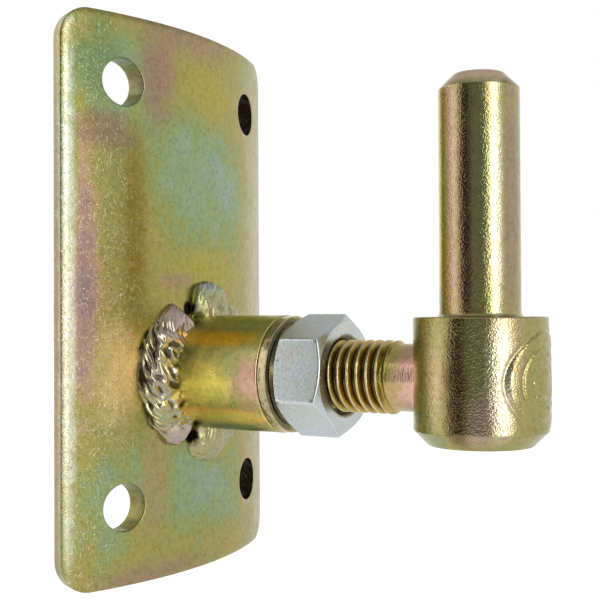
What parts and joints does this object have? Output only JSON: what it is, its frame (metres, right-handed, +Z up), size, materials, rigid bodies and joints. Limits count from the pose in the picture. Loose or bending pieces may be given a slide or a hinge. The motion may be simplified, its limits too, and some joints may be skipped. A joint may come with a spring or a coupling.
{
  "type": "adjustable hinge pintle",
  "caption": "Adjustable hinge pintle: a curved post plate with a welded boss, and an upright pin on a screw-in stud held by a lock nut.",
  "frame": {"origin": "on the back of the curved plate, where the axis of the stud meets it", "axes": "+X out of the post along the stud, +Y across the plate, +Z up along the hinge pin"},
  "size_m": [0.0986, 0.0764, 0.128],
  "materials": {
    "yellow_zinc": "satin steel under yellow chromate zinc plating, with olive, pink and teal cast",
    "weld_zinc": "rippled weld metal under yellow chromate zinc plating",
    "clear_zinc": "satin clear zinc plating"
  },
  "bodies": {
    "base": {"mounting_plate": "yellow_zinc", "threaded_boss": "yellow_zinc", "near_weld": "weld_zinc", "far_weld": "weld_zinc"},
    "washer": {"lock_washer": "yellow_zinc"},
    "nut": {"lock_nut": "clear_zinc"},
    "stud": {"threaded_stud": "yellow_zinc"},
    "pintle": {"hinge_pin": "yellow_zinc"}
  },
  "joints": [
    {"name": "washer_travel", "type": "slide", "parent": "base", "child": "washer", "axis": [1, 0, 0], "range_m": [0, 0.007]},
    {"name": "nut_turn", "type": "hinge", "parent": "washer", "child": "nut", "pos_m": [0.0381, 0, 0], "axis": [1, 0, 0], "range_deg": [0, 1260]},
    {"name": "stud_travel", "type": "slide", "parent": "base", "child": "stud", "axis": [1, 0, 0], "range_m": [-0.006, 0.004]},
    {"name": "pintle_turn", "type": "hinge", "parent": "stud", "child": "pintle", "pos_m": [0.0761, 0, 0], "axis": [1, 0, 0], "range_deg": [-1080, 720]}
  ],
  "couplings": [
    {"joint": "washer_travel", "follows": "nut_turn", "m_per_rad": 0.0003183},
    {"joint": "stud_travel", "follows": "pintle_turn", "m_per_rad": 0.0003183}
  ]
}
